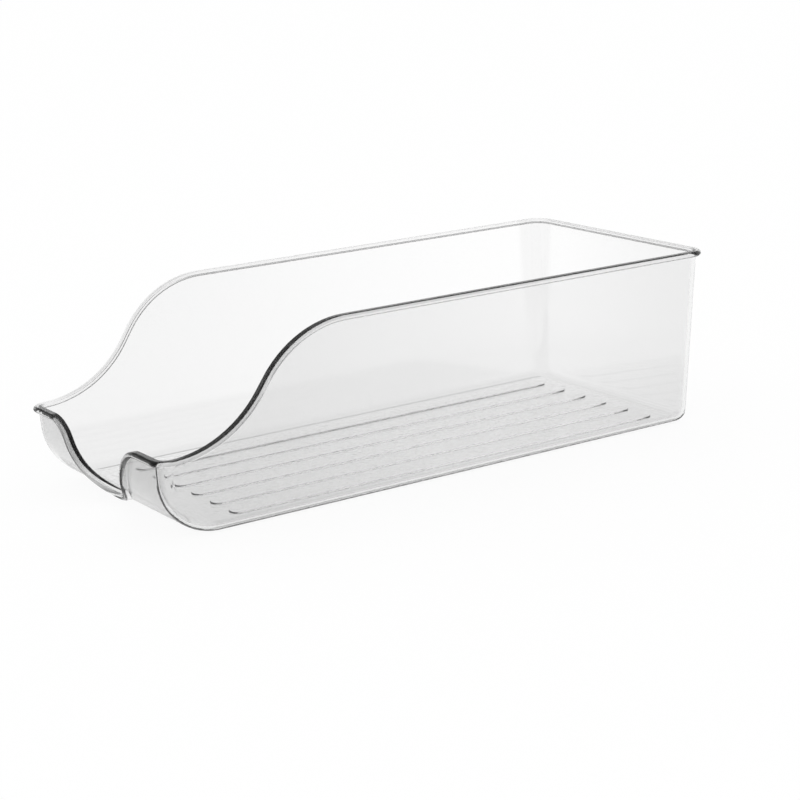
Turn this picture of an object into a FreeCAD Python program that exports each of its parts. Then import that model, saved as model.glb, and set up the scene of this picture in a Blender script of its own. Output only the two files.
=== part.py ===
import FreeCAD, Part
import math
import os

# Clear can organizer: one moulded bin, millimetres, +Z up.
# The low end with the finger notch faces -Y, the full height end faces +Y.

# Overall size over the rim
WIDTH = 145.0
LENGTH = 335.0
HEIGHT = 95.0

# Walls and floor
WALL = 2.0
FLOOR = 2.2
SIDE_DRAFT = 3.0
REAR_DRAFT = 1.7
FRONT_DRAFT = 3.6

# Rim lip that turns outward along the whole upper edge
LIP_OVERHANG = 2.6
LIP_DEPTH = 2.7
LIP_CROWN = 1.7
LIP_LOW_BREAK = 0.7
LIP_INNER_BREAK = 0.5

# Outer corner radii of the walls
REAR_CORNER = 10.0
EDGE_ROUND = 6.2
FRONT_SWEEP = 32.0

# Side rim line, seen along X: high part, swoop, low front part
FRONT_HEIGHT = 40.6
SWOOP_FRONT_GAP = 7.5
SWOOP_TOP_RADIUS = 53.8
SWOOP_LOW_RADIUS = 56.6
SWOOP_STRAIGHT = 6.9

# Finger notch in the front wall, seen along Y
NOTCH_BOTTOM = 7.4
NOTCH_LOW_RADIUS = 26.2
NOTCH_FLARE = 28.5
NOTCH_EAR_RADIUS = 18.0

# Raised runners on the inner floor
RUNNER_COUNT = 6
RUNNER_WIDTH = 9.2
RUNNER_PITCH = 18.4
RUNNER_HEIGHT = 0.7
RUNNER_FRONT = -119.0
RUNNER_REAR = 146.0
RUNNER_BEVEL = 0.4

# Room added round cutting tools
SPARE = 40.0


def vec(x, y, z):
    return FreeCAD.Vector(x, y, z)


def slope(degrees):
    return math.tan(math.radians(degrees))


def level_corners(offset, z):
    """Corners of the walls' rectangle at height z, grown outward by offset."""
    side = WIDTH / 2 - LIP_OVERHANG + offset - slope(SIDE_DRAFT) * (HEIGHT - z)
    rear = LENGTH / 2 - LIP_OVERHANG + offset - slope(REAR_DRAFT) * (HEIGHT - z)
    front = -LENGTH / 2 + LIP_OVERHANG - offset + slope(FRONT_DRAFT) * (FRONT_HEIGHT - z)
    return [vec(-side, front, z), vec(side, front, z), vec(side, rear, z), vec(-side, rear, z)]


def face_of(points):
    return Part.Face(Part.makePolygon(points + points[:1]))


def tapered_block(offset, bottom, top):
    """Four drafted sides between two flat rectangles."""
    low = level_corners(offset, bottom)
    high = level_corners(offset, top)
    faces = [face_of(low[::-1]), face_of(high)]
    for i in range(len(low)):
        j = (i + 1) % len(low)
        faces.append(face_of([low[i], low[j], high[j], high[i]]))
    return Part.makeSolid(Part.makeShell(faces))


def edge_ends(edge):
    return edge.Vertexes[0].Point, edge.Vertexes[-1].Point


def is_low_front(edge, bottom):
    a, b = edge_ends(edge)
    level = max(abs(a.z - bottom), abs(b.z - bottom)) < 0.01
    return level and a.y < 0 and b.y < 0 and abs(a.x - b.x) > WIDTH / 2


def is_rear_upright(edge):
    a, b = edge_ends(edge)
    return a.y > 0 and b.y > 0 and abs(a.z - b.z) > HEIGHT / 2


def is_chain_edge(edge, top):
    """True for the edges between walls, sweep and floor, not for the open top."""
    a, b = edge_ends(edge)
    middle = edge.valueAt((edge.FirstParameter + edge.LastParameter) / 2)
    if min(a.z, b.z) > top - 0.01:
        return False
    between_sweep = abs(a.x - b.x) > WIDTH / 2 and middle.y < 0
    rear_end = middle.y > 0 and max(a.z, b.z) > top - 0.01
    return not between_sweep and not rear_end


def tapered_body(offset, bottom):
    """Solid block with the bin's outer form, grown outward by offset."""
    top = HEIGHT + SPARE / 4
    block = tapered_block(offset, bottom, top)
    low = [e for e in block.Edges if is_low_front(e, bottom)]
    body = block.makeFillet(FRONT_SWEEP + offset, low)
    uprights = [e for e in body.Edges if is_rear_upright(e)]
    body = body.makeFillet(REAR_CORNER + offset, uprights)
    chain = [e for e in body.Edges if is_chain_edge(e, top)]
    return body.makeFillet(EDGE_ROUND + offset, chain)


def arc_through(centre, radius, start, end, place):
    """Arc about centre from start to end angle in degrees, mapped to space by place."""
    points = []
    for share in (0.0, 0.5, 1.0):
        angle = math.radians(start + (end - start) * share)
        points.append(place(centre[0] + radius * math.cos(angle), centre[1] + radius * math.sin(angle)))
    return Part.Arc(*points).toShape()


def swoop_turn():
    """Angle in degrees of each swoop arc, so that arcs and straight climb to the full height."""
    radii = SWOOP_TOP_RADIUS + SWOOP_LOW_RADIUS
    reach = math.hypot(radii, SWOOP_STRAIGHT)
    climb = HEIGHT - FRONT_HEIGHT
    return math.degrees(math.acos((radii - climb) / reach) - math.atan2(SWOOP_STRAIGHT, radii))


def swoop_centres():
    """Centres (y, z) of the lower and the upper swoop arc."""
    angle = math.radians(swoop_turn())
    radii = SWOOP_TOP_RADIUS + SWOOP_LOW_RADIUS
    run = radii * math.sin(angle) + SWOOP_STRAIGHT * math.cos(angle)
    low_y = -LENGTH / 2 + SWOOP_FRONT_GAP
    return (low_y, FRONT_HEIGHT + SWOOP_LOW_RADIUS), (low_y + run, HEIGHT - SWOOP_TOP_RADIUS)


def rim_line_face(inset):
    """Face in the YZ plane below the side rim line, lowered by inset."""
    place = lambda y, z: vec(-WIDTH, y, z)
    low, high = swoop_centres()
    turn = swoop_turn()
    low_arc = arc_through(low, SWOOP_LOW_RADIUS + inset, -90, turn - 90, place)
    high_arc = arc_through(high, SWOOP_TOP_RADIUS - inset, 90 + turn, 90, place)
    front, rear = -LENGTH, LENGTH
    outline = [
        Part.makeLine(place(rear, HEIGHT - inset), place(rear, -SPARE)),
        Part.makeLine(place(rear, -SPARE), place(front, -SPARE)),
        Part.makeLine(place(front, -SPARE), place(front, FRONT_HEIGHT - inset)),
        Part.makeLine(place(front, FRONT_HEIGHT - inset), place(low[0], FRONT_HEIGHT - inset)),
        low_arc,
        Part.makeLine(low_arc.Vertexes[-1].Point, high_arc.Vertexes[0].Point),
        high_arc,
        Part.makeLine(place(high[0], HEIGHT - inset), place(rear, HEIGHT - inset)),
    ]
    return Part.Face(Part.Wire(outline))


def notch_centres():
    """Centres (x, z) of the notch's low arc and of its right ear arc."""
    flare = math.radians(NOTCH_FLARE)
    low_z = NOTCH_BOTTOM + NOTCH_LOW_RADIUS
    ear_z = FRONT_HEIGHT - NOTCH_EAR_RADIUS
    reach = NOTCH_LOW_RADIUS + NOTCH_EAR_RADIUS
    start = (ear_z - low_z + reach * math.sin(flare)) / math.cos(flare)
    ear_x = reach * math.cos(flare) + start * math.sin(flare)
    return (0.0, low_z), (ear_x, ear_z)


def notch_prism(inset):
    """Block that opens the finger notch, widened by inset."""
    place = lambda x, z: vec(x, -LENGTH, z)
    low, right = notch_centres()
    left = (-right[0], right[1])
    ear = NOTCH_EAR_RADIUS - inset
    top = FRONT_HEIGHT + SPARE
    left_arc = arc_through(left, ear, 90, NOTCH_FLARE, place)
    low_arc = arc_through(low, NOTCH_LOW_RADIUS + inset, 180 + NOTCH_FLARE, 360 - NOTCH_FLARE, place)
    right_arc = arc_through(right, ear, 180 - NOTCH_FLARE, 90, place)
    outline = [
        Part.makeLine(place(left[0], top), left_arc.Vertexes[0].Point),
        left_arc,
        Part.makeLine(left_arc.Vertexes[-1].Point, low_arc.Vertexes[0].Point),
        low_arc,
        Part.makeLine(low_arc.Vertexes[-1].Point, right_arc.Vertexes[0].Point),
        right_arc,
        Part.makeLine(right_arc.Vertexes[-1].Point, place(right[0], top)),
        Part.makeLine(place(right[0], top), place(left[0], top)),
    ]
    return Part.Face(Part.Wire(outline)).extrude(vec(0, LENGTH * 0.75, 0))


def below_rim(inset):
    """Space below the rim line and outside the notch."""
    return rim_line_face(inset).extrude(vec(2 * WIDTH, 0, 0)).cut(notch_prism(inset))


def make_runner(x):
    """One raised floor runner with rounded ends and a bevelled top edge."""
    r = RUNNER_WIDTH / 2
    z = FLOOR - WALL / 2
    front, rear = RUNNER_FRONT + r, RUNNER_REAR - r
    place = lambda px, py: vec(x + px, py, z)
    outline = [
        Part.makeLine(place(r, front), place(r, rear)),
        arc_through((0, rear), r, 0, 180, place),
        Part.makeLine(place(-r, rear), place(-r, front)),
        arc_through((0, front), r, 180, 360, place),
    ]
    top = FLOOR + RUNNER_HEIGHT
    bar = Part.Face(Part.Wire(outline)).extrude(vec(0, 0, top - z))
    rims = [e for e in bar.Edges if min(v.Z for v in e.Vertexes) > top - 0.01]
    return bar.makeChamfer(RUNNER_BEVEL, rims)


def make_runners():
    first = -RUNNER_PITCH * (RUNNER_COUNT - 1) / 2
    return [make_runner(first + RUNNER_PITCH * i) for i in range(RUNNER_COUNT)]


def is_sharp(solid, edge):
    """True where the two faces at an edge meet at a clear angle."""
    faces = solid.ancestorsOfType(edge, Part.Face)
    if len(faces) < 2:
        return False
    middle = edge.valueAt((edge.FirstParameter + edge.LastParameter) / 2)
    normals = [f.normalAt(*f.Surface.parameter(middle)) for f in faces[:2]]
    return normals[0].dot(normals[1]) < 0.8


def edges_on(solid, *bodies):
    """Sharp edges of solid that run on the surfaces of all the given bodies."""
    found = []
    for edge in solid.Edges:
        middle = edge.valueAt((edge.FirstParameter + edge.LastParameter) / 2)
        gaps = [body.Shells[0].distToShape(Part.Vertex(middle))[0] for body in bodies]
        if max(gaps) < 0.001 and is_sharp(solid, edge):
            found.append(edge)
    return found


def make_lip(inner):
    """Band of constant depth that stands out from the walls, with a rounded crown."""
    flange = tapered_body(LIP_OVERHANG, -LIP_OVERHANG)
    rim = below_rim(0.0)
    base = below_rim(LIP_DEPTH)
    lip = flange.cut(inner).common(rim.cut(base)).Solids[0]
    lip = lip.makeChamfer(LIP_INNER_BREAK, edges_on(lip, inner, rim))
    lip = lip.makeChamfer(LIP_LOW_BREAK, edges_on(lip, flange, base))
    return lip.makeFillet(LIP_CROWN, edges_on(lip, flange, rim))


def make_bin():
    """Walls and floor, the lip along the rim, and the floor runners as one moulding."""
    outer = tapered_body(0.0, 0.0)
    inner = tapered_body(-WALL, FLOOR)
    walls = outer.cut(inner).common(below_rim(LIP_DEPTH / 2))
    return walls.fuse([make_lip(inner)] + make_runners()).removeSplitter().Solids[0]


os.makedirs("parts", exist_ok=True)
make_bin().exportStep("parts/bin.step")
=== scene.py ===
"""Clear moulded can organizer on a pale floor, seen from above its low front corner."""

from __future__ import annotations

import logging
import math
from dataclasses import dataclass
from enum import Enum

import bpy
from mathutils import Matrix, Vector

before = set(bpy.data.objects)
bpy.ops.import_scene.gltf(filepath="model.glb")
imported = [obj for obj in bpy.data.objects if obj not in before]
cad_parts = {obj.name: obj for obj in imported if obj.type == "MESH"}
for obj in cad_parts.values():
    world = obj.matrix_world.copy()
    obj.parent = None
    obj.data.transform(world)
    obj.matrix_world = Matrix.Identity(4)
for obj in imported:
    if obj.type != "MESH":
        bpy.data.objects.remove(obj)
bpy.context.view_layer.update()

LOG = logging.getLogger("scene")


class Ray(Enum):
    """Ray kinds of the Light Path node that show the white backdrop."""

    CAMERA = "Is Camera Ray"
    GLOSSY = "Is Glossy Ray"
    TRANSMISSION = "Is Transmission Ray"


class Sum(Enum):
    """Sums that the Math node does."""

    ABSOLUTE = "ABSOLUTE"
    ADD = "ADD"
    MAXIMUM = "MAXIMUM"
    MULTIPLY = "MULTIPLY"


class Measure(Enum):
    """What a span is measured along: an axis, the distance from the middle, or how far a face looks up."""

    X = "x"
    Y = "y"
    Z = "z"
    SIDE = "distance from the middle to either side"
    END = "distance from the middle to either end"
    FACING_UP = "upward share of the face's direction"


@dataclass(frozen=True)
class Span:
    """Smooth change from one level to another between two places."""

    start: float
    end: float
    before: float = 0.0
    after: float = 1.0


@dataclass(frozen=True)
class Patch:
    """Part of the bin that lets through its own share of light; some patches are painted shade or painted
    light. It lies where all its spans are full.
    """

    share: float
    spans: tuple[tuple[Measure, Span], ...]


@dataclass(frozen=True)
class Texture:
    """Noise over the surface. Scale is per metre, and noise that shapes the surface has a depth in metres."""

    scale: float
    detail: float
    depth: float = 0.0


@dataclass(frozen=True)
class CameraSpec:
    """The photo's viewpoint. Angles are in degrees, places in metres, the lens and sensor in millimetres."""

    azimuth: float = 55.605
    elevation: float = 15.053
    roll: float = -1.789
    place: tuple[float, float, float] = (0.8440, -0.5645, 0.2998)
    lens: float = 90.1
    sensor: float = 36.0
    nearest: float = 0.01
    farthest: float = 50.0


@dataclass(frozen=True)
class FloorSpec:
    """The pale floor. The gap keeps it off the clear underside, backdrop is how white it looks directly."""

    half_size: float = 12.0
    gap: float = 0.0002
    color: float = 1.0
    backdrop: float = 0.93
    roughness: float = 0.7


@dataclass(frozen=True)
class StudioSpec:
    """Light levels around the bin: ambient for dull surfaces, the others for what clear ones show.

    The spans are in the height or the forward share of the direction looked in.
    """

    ambient: float = 1.0
    backdrop: float = 1.0
    above_backdrop: float = 0.3
    side: float = 0.21
    ceiling: float = 0.55
    backdrop_top: Span = Span(0.33, 0.42)
    ahead: Span = Span(-0.1, 0.5)
    overhead: Span = Span(0.5, 0.9)


class NodeMaker:
    """Adds nodes to one tree and links them."""

    def __init__(self, tree: bpy.types.NodeTree) -> None:
        """Keeps the tree.

        Args:
            tree: Node tree to add to.
        """
        self.tree = tree

    def add(self, kind: str) -> bpy.types.Node:
        """Adds a node.

        Args:
            kind: The node's type.

        Returns:
            The node.
        """
        return self.tree.nodes.new(kind)

    def feed(self, socket: bpy.types.NodeSocket, value: bpy.types.NodeSocket | float) -> None:
        """Gives a socket its value.

        Args:
            socket: Input to fill.
            value: Output to link it to, or a number.
        """
        if isinstance(value, float):
            socket.default_value = value
        else:
            self.tree.links.new(value, socket)

    def split(self, vector: bpy.types.NodeSocket) -> bpy.types.bpy_prop_collection:
        """Parts of a vector.

        Args:
            vector: The vector.

        Returns:
            Outputs named X, Y and Z.
        """
        node = self.add("ShaderNodeSeparateXYZ")
        self.feed(node.inputs[0], vector)
        return node.outputs

    def change(self, value: bpy.types.NodeSocket, span: Span) -> bpy.types.NodeSocket:
        """Smooth change over a span.

        Args:
            value: What the span is measured along.
            span: Places and levels of the change.

        Returns:
            The level.
        """
        step = self.add("ShaderNodeMapRange")
        step.interpolation_type = "SMOOTHSTEP"
        self.feed(step.inputs["From Min"], span.start)
        self.feed(step.inputs["From Max"], span.end)
        self.feed(step.inputs["To Min"], span.before)
        self.feed(step.inputs["To Max"], span.after)
        self.feed(step.inputs["Value"], value)
        return step.outputs["Result"]

    def calculate(self, how: Sum, first: bpy.types.NodeSocket, second: bpy.types.NodeSocket | float = 0.0
                  ) -> bpy.types.NodeSocket:
        """Sum of one or two values.

        Args:
            how: The sum to do.
            first: First value.
            second: Second value, for the sums that take two.

        Returns:
            The result.
        """
        node = self.add("ShaderNodeMath")
        node.operation = how.value
        self.feed(node.inputs[0], first)
        self.feed(node.inputs[1], second)
        return node.outputs[0]

    def combine(self, how: Sum, first: bpy.types.NodeSocket, *others: bpy.types.NodeSocket
                ) -> bpy.types.NodeSocket:
        """Sum of several values.

        Args:
            how: The sum to do.
            first: First value.
            others: The other values, taken in one after the other.

        Returns:
            The result.
        """
        total = first
        for other in others:
            total = self.calculate(how, total, other)
        return total

    def blend(self, factor: bpy.types.NodeSocket, low: bpy.types.NodeSocket | float,
              high: bpy.types.NodeSocket | float) -> bpy.types.NodeSocket:
        """Number between two others.

        Args:
            factor: 0 for the low number, 1 for the high one.
            low: Low number.
            high: High number.

        Returns:
            The number between them.
        """
        mix = self.add("ShaderNodeMix")
        self.feed(mix.inputs["Factor"], factor)
        self.feed(mix.inputs["A"], low)
        self.feed(mix.inputs["B"], high)
        return mix.outputs["Result"]

    def noise(self, texture: Texture, vector: bpy.types.NodeSocket) -> bpy.types.NodeSocket:
        """Noise over the surface.

        Args:
            texture: The noise's scale and detail.
            vector: Coordinates.

        Returns:
            The noise's level.
        """
        node = self.add("ShaderNodeTexNoise")
        self.feed(node.inputs["Scale"], texture.scale)
        self.feed(node.inputs["Detail"], texture.detail)
        self.feed(node.inputs["Vector"], vector)
        return node.outputs["Fac"]

    def bump(self, texture: Texture, height: bpy.types.NodeSocket, under: bpy.types.NodeSocket | None = None
             ) -> bpy.types.NodeSocket:
        """Surface direction shaped by a height.

        Args:
            texture: Noise whose depth counts.
            height: Height as a share of that depth.
            under: Direction to start from, where another bump lies below.

        Returns:
            The direction.
        """
        node = self.add("ShaderNodeBump")
        self.feed(node.inputs["Strength"], 1.0)
        self.feed(node.inputs["Distance"], texture.depth)
        self.feed(node.inputs["Height"], height)
        if under is not None:
            self.feed(node.inputs["Normal"], under)
        return node.outputs["Normal"]

    def seen_directly(self) -> bpy.types.NodeSocket:
        """Mask of the rays that show the white backdrop.

        Returns:
            1 for those rays and 0 for the others.
        """
        path = self.add("ShaderNodeLightPath")
        return self.combine(Sum.MAXIMUM, *(path.outputs[ray.value] for ray in Ray))


@dataclass(frozen=True)
class ClearPlastic:
    """Clear moulded plastic with painted shade and painted light, with places in metres in the part's frame.

    Spans along the length, across the width and up from the ground set the share of light that passes all
    over the bin. The span across the width is painted shade and light, darker on the near side and lighter on
    the far side, and the darker base is partly a painted shadow from the floor under the bin. Each patch
    changes that share in one place; the patch along the foot's edge is a painted contact shadow, and the one
    on the runners' edges is painted light. The rougher faces of the lip and the rim keep the rim's dark line
    soft.
    """

    ior: float = 1.53
    lengthwise: Span = Span(-0.15, 0.12, before=0.885, after=0.96)
    # Painted shade and light: the near side is darker and the far side lighter, for how light falls on the
    # two sides.
    painted_side_shade: Span = Span(-0.0725, 0.0725, before=1.04, after=0.951)
    # The base is darker, partly as a painted shadow from the floor under the bin.
    base: Span = Span(0.0042, 0.0032, before=1.0, after=0.94)
    front_wall: Patch = Patch(share=0.77, spans=(
        (Measure.Y, Span(-0.157, -0.164)),
        (Measure.SIDE, Span(0.066, 0.062)),
        (Measure.Z, Span(0.008, 0.02)),
    ))
    low_rear: Patch = Patch(share=0.975, spans=(
        (Measure.Y, Span(-0.02, 0.1)),
        (Measure.Z, Span(0.05, 0.01)),
    ))
    far_corner: Patch = Patch(share=0.94, spans=(
        (Measure.X, Span(-0.055, -0.0615)),
        (Measure.Y, Span(0.145, 0.152)),
        (Measure.Z, Span(0.01, 0.08, before=0.25)),
    ))
    # Painted contact shadow: a dark line low along the foot's edge on both sides.
    foot_contact_shadow: Patch = Patch(share=0.4, spans=(
        (Measure.SIDE, Span(0.0595, 0.0605)),
        (Measure.Z, Span(0.00001, 0.0001)),
        (Measure.Z, Span(0.0009, 0.0004)),
    ))
    # Painted light: the runners' bevelled edges are made clear to lighten their dark lines.
    runner_painted_light: Patch = Patch(share=1.18, spans=(
        (Measure.FACING_UP, Span(0.97, 0.9)),
        (Measure.SIDE, Span(0.0535, 0.052)),
        (Measure.Z, Span(0.0021, 0.00215)),
        (Measure.Z, Span(0.0032, 0.003)),
    ))
    waves: Texture = Texture(22.0, 1.0, depth=0.00002)
    grain: Texture = Texture(420.0, 2.0, depth=0.00006)
    grain_up: Span = Span(0.0042, 0.0032)
    haze: Texture = Texture(60.0, 3.0)
    haze_roughness: Span = Span(0.0, 1.0, before=0.015, after=0.045)
    lip_side: Span = Span(0.0699, 0.0703)
    lip_end: Span = Span(0.1646, 0.1650)
    lip_roughness: Span = Span(-0.158, -0.13, before=0.09, after=0.2)
    top_face: Span = Span(0.15, 0.35)
    top_up: Span = Span(0.011, 0.013)
    under_roughness: Span = Span(-0.35, -0.55, after=0.7)

    def measures(self, maker: NodeMaker, coords: bpy.types.Node) -> dict[Measure, bpy.types.NodeSocket]:
        """What the spans are measured along.

        Args:
            maker: Adds the nodes.
            coords: Texture coordinate node.

        Returns:
            A value for each measure.
        """
        place = maker.split(coords.outputs["Object"])
        return {
            Measure.X: place["X"],
            Measure.Y: place["Y"],
            Measure.Z: place["Z"],
            Measure.SIDE: maker.calculate(Sum.ABSOLUTE, place["X"]),
            Measure.END: maker.calculate(Sum.ABSOLUTE, place["Y"]),
            Measure.FACING_UP: maker.split(coords.outputs["Normal"])["Z"],
        }

    def tint_and_painted_shade(self, maker: NodeMaker, along: dict[Measure, bpy.types.NodeSocket]) -> bpy.types.NodeSocket:
        """Share of light that the plastic lets through, with painted shade across the width, a partly painted
        shadow on the base, a painted contact shadow along the foot's edge and painted light on the runners'
        edges.

        Args:
            maker: Adds the nodes.
            along: Value for each measure.

        Returns:
            The share.
        """
        shares = [maker.change(along[Measure.Y], self.lengthwise),
                  maker.change(along[Measure.X], self.painted_side_shade),
                  maker.change(along[Measure.Z], self.base)]
        for patch in (self.front_wall, self.low_rear, self.far_corner, self.foot_contact_shadow, self.runner_painted_light):
            levels = [maker.change(along[measure], span) for measure, span in patch.spans]
            mask = maker.combine(Sum.MULTIPLY, *levels)
            shares.append(maker.change(mask, Span(0.0, 1.0, before=1.0, after=patch.share)))
        return maker.combine(Sum.MULTIPLY, *shares)

    def relief(self, maker: NodeMaker, vector: bpy.types.NodeSocket, height: bpy.types.NodeSocket
               ) -> bpy.types.NodeSocket:
        """Slow waves everywhere and fine grain on the base.

        Args:
            maker: Adds the nodes.
            vector: Coordinates of the noise.
            height: Height over the ground.

        Returns:
            The surface's direction.
        """
        waves = maker.bump(self.waves, maker.noise(self.waves, vector))
        low = maker.change(height, self.grain_up)
        grain = maker.combine(Sum.MULTIPLY, low, maker.noise(self.grain, vector))
        return maker.bump(self.grain, grain, waves)

    def roughness(self, maker: NodeMaker, vector: bpy.types.NodeSocket,
                  along: dict[Measure, bpy.types.NodeSocket]) -> bpy.types.NodeSocket:
        """Faint haze everywhere, more on the lip and the rim's top, most under the lip.

        Args:
            maker: Adds the nodes.
            vector: Coordinates of the noise.
            along: Value for each measure.

        Returns:
            The roughness.
        """
        facing_up = along[Measure.FACING_UP]
        haze = maker.change(maker.noise(self.haze, vector), self.haze_roughness)
        lip = maker.combine(Sum.MAXIMUM, maker.change(along[Measure.SIDE], self.lip_side),
                            maker.change(along[Measure.END], self.lip_end))
        top = maker.combine(Sum.MULTIPLY, maker.change(facing_up, self.top_face),
                            maker.change(along[Measure.Z], self.top_up))
        rim = maker.combine(Sum.MULTIPLY, maker.combine(Sum.MAXIMUM, lip, top),
                            maker.change(along[Measure.Y], self.lip_roughness))
        under = maker.combine(Sum.MULTIPLY, lip, maker.change(facing_up, self.under_roughness))
        return maker.combine(Sum.ADD, haze, rim, under)

    def build(self, name: str) -> bpy.types.Material:
        """Makes the material.

        Args:
            name: The material's name.

        Returns:
            The material.
        """
        material = bpy.data.materials.new(name)
        material.use_nodes = True
        maker = NodeMaker(material.node_tree)
        shader = material.node_tree.nodes["Principled BSDF"]
        maker.feed(shader.inputs["IOR"], self.ior)
        maker.feed(shader.inputs["Transmission Weight"], 1.0)
        coords = maker.add("ShaderNodeTexCoord")
        vector = coords.outputs["Object"]
        along = self.measures(maker, coords)
        share = self.tint_and_painted_shade(maker, along)
        grey = maker.add("ShaderNodeCombineColor")
        for channel in ("Red", "Green", "Blue"):
            maker.feed(grey.inputs[channel], share)
        maker.feed(shader.inputs["Base Color"], grey.outputs["Color"])
        maker.feed(shader.inputs["Normal"], self.relief(maker, vector, along[Measure.Z]))
        maker.feed(shader.inputs["Roughness"], self.roughness(maker, vector, along))
        return material


@dataclass(frozen=True)
class Bin:
    """The one moulding, by its node in the frame, with its clear plastic material and its painted shade and
    light.
    """

    node: str = "bin"
    slot: str = "clear_plastic"
    finish_and_painted_shade: ClearPlastic = ClearPlastic()

    def dress(self) -> int:
        """Gives the moulding its clear plastic material with its painted shade and light.

        Returns:
            How many faces the moulding has.
        """
        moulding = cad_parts[self.node]
        plastic = self.finish_and_painted_shade.build(self.slot)
        for held in moulding.material_slots:
            held.material = plastic
        return len(moulding.data.polygons)


class PhotoCamera:
    """Places the camera where the photo was taken from."""

    def __init__(self, spec: CameraSpec) -> None:
        """Keeps the viewpoint.

        Args:
            spec: The viewpoint.
        """
        self.spec = spec

    def forward(self) -> Vector:
        """Level direction that the camera looks along.

        Returns:
            The direction, one long.
        """
        azimuth = math.radians(self.spec.azimuth)
        return Vector((-math.sin(azimuth), math.cos(azimuth), 0.0))

    def build(self) -> bpy.types.Object:
        """Makes the camera and sets it as the scene's.

        Returns:
            The camera.
        """
        azimuth, elevation, roll = (math.radians(angle) for angle in
                                    (self.spec.azimuth, self.spec.elevation, self.spec.roll))
        back = Vector((math.sin(azimuth) * math.cos(elevation), -math.cos(azimuth) * math.cos(elevation),
                       math.sin(elevation)))
        right = Vector((math.cos(azimuth), math.sin(azimuth), 0.0))
        up = back.cross(right)
        turned_right = right * math.cos(roll) + up * math.sin(roll)
        turned_up = up * math.cos(roll) - right * math.sin(roll)
        data = bpy.data.cameras.new("photo_camera")
        data.lens = self.spec.lens
        data.sensor_width = self.spec.sensor
        data.clip_start = self.spec.nearest
        data.clip_end = self.spec.farthest
        camera = bpy.data.objects.new("photo_camera", data)
        axes = Matrix((turned_right, turned_up, back)).transposed()
        camera.matrix_world = Matrix.Translation(self.spec.place) @ axes.to_4x4()
        bpy.context.scene.collection.objects.link(camera)
        bpy.context.scene.camera = camera
        return camera


class Studio:
    """Floor and surroundings."""

    def __init__(self, floor: FloorSpec, spec: StudioSpec, forward: Vector) -> None:
        """Keeps the values.

        Args:
            floor: The floor's values.
            spec: The light levels.
            forward: Level direction that the camera looks along.
        """
        self.floor_spec = floor
        self.spec = spec
        self.forward = forward

    def build_world(self) -> bpy.types.World:
        """Makes plain light for dull surfaces, and a bright backdrop with dimmer sides for clear ones.

        Returns:
            The world.
        """
        world = bpy.data.worlds.new("studio")
        bpy.context.scene.world = world
        world.use_nodes = True
        world.node_tree.nodes.clear()
        maker = NodeMaker(world.node_tree)
        direction = maker.add("ShaderNodeTexCoord").outputs["Generated"]
        facing = maker.add("ShaderNodeVectorMath")
        facing.operation = "DOT_PRODUCT"
        facing.inputs[1].default_value = self.forward
        maker.feed(facing.inputs[0], direction)
        height = maker.split(direction)["Z"]
        level = maker.blend(maker.change(height, self.spec.backdrop_top), self.spec.backdrop,
                            self.spec.above_backdrop)
        level = maker.blend(maker.change(facing.outputs["Value"], self.spec.ahead), self.spec.side, level)
        level = maker.blend(maker.change(height, self.spec.overhead), level, self.spec.ceiling)
        level = maker.blend(maker.seen_directly(), self.spec.ambient, level)
        sky = maker.add("ShaderNodeBackground")
        sky.inputs["Color"].default_value = (1.0, 1.0, 1.0, 1.0)
        maker.feed(sky.inputs["Strength"], level)
        maker.feed(maker.add("ShaderNodeOutputWorld").inputs["Surface"], sky.outputs[0])
        return world

    def floor_material(self) -> bpy.types.Material:
        """Makes a pale, dull material that looks nearly white directly and still keeps some shadow.

        Returns:
            The material.
        """
        material = bpy.data.materials.new("pale_floor")
        material.use_nodes = True
        nodes = material.node_tree.nodes
        maker = NodeMaker(material.node_tree)
        shader = nodes["Principled BSDF"]
        tone = self.floor_spec.color
        shader.inputs["Base Color"].default_value = (tone, tone, tone, 1.0)
        maker.feed(shader.inputs["Roughness"], self.floor_spec.roughness)
        white = maker.add("ShaderNodeEmission")
        mix = maker.add("ShaderNodeMixShader")
        maker.feed(mix.inputs["Fac"],
                   maker.calculate(Sum.MULTIPLY, maker.seen_directly(), self.floor_spec.backdrop))
        maker.feed(mix.inputs[1], shader.outputs[0])
        maker.feed(mix.inputs[2], white.outputs[0])
        maker.feed(nodes["Material Output"].inputs["Surface"], mix.outputs[0])
        return material

    def build_floor(self) -> bpy.types.Object:
        """Makes the floor.

        Returns:
            The floor.
        """
        half = self.floor_spec.half_size
        square = ((-half, -half), (half, -half), (half, half), (-half, half))
        corners = [(x, y, -self.floor_spec.gap) for x, y in square]
        mesh = bpy.data.meshes.new("floor")
        mesh.from_pydata(corners, [], [range(len(corners))])
        mesh.materials.append(self.floor_material())
        floor = bpy.data.objects.new("floor", mesh)
        bpy.context.scene.collection.objects.link(floor)
        return floor


def main() -> None:
    """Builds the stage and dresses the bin."""
    logging.basicConfig(level=logging.INFO, format="%(message)s")
    camera = PhotoCamera(CameraSpec())
    LOG.info("camera: %s", camera.build().name)
    studio = Studio(FloorSpec(), StudioSpec(), camera.forward())
    LOG.info("world: %s", studio.build_world().name)
    LOG.info("stage: %s", studio.build_floor().name)
    moulding = Bin()
    LOG.info("%s: %d faces", moulding.node, moulding.dress())
    bpy.context.scene.view_settings.view_transform = "Standard"


if __name__ == "__main__":
    main()
